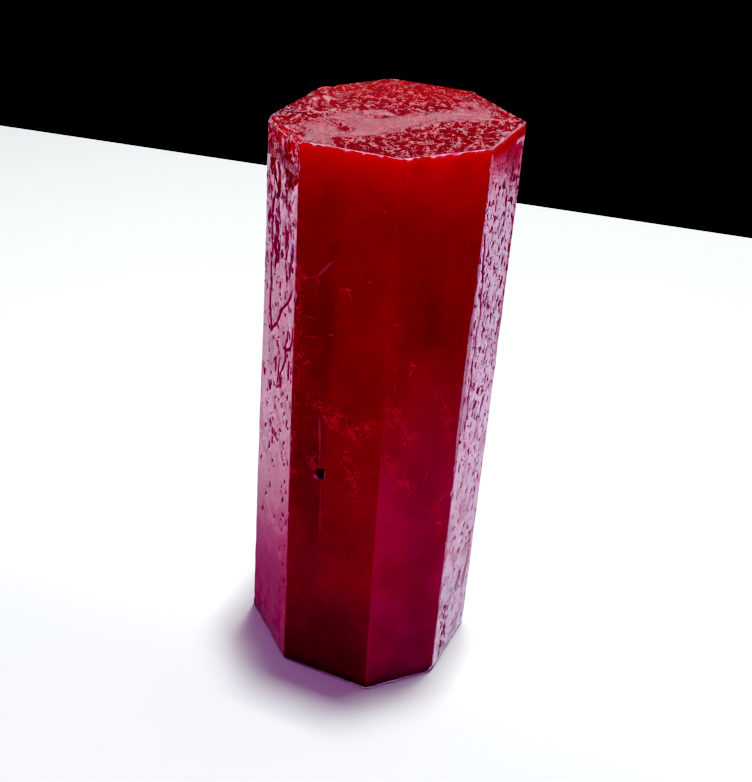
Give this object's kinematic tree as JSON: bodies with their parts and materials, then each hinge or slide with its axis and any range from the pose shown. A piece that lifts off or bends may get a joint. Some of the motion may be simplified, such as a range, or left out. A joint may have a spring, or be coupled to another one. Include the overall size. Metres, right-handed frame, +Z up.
{
  "type": "rough red beryl crystal",
  "caption": "Tall eight-sided prism of clear deep red crystal with etched side faces, a pitted top and a flat foot to stand on.",
  "frame": {"origin": "middle of the flat foot that the crystal stands on, at the middle of the crystal's box in X and Y", "axes": "+Z up the prism, -Y the front, where the two broad clean faces meet in one upright edge, +X to the right seen from the front"},
  "size_m": [0.0243, 0.0268, 0.0584],
  "materials": {
    "red_beryl": "clear deep red crystal, glossy where the faces are clean and satin where they are etched and pitted"
  },
  "bodies": {
    "root": {"beryl_crystal": "red_beryl"}
  },
  "joints": []
}
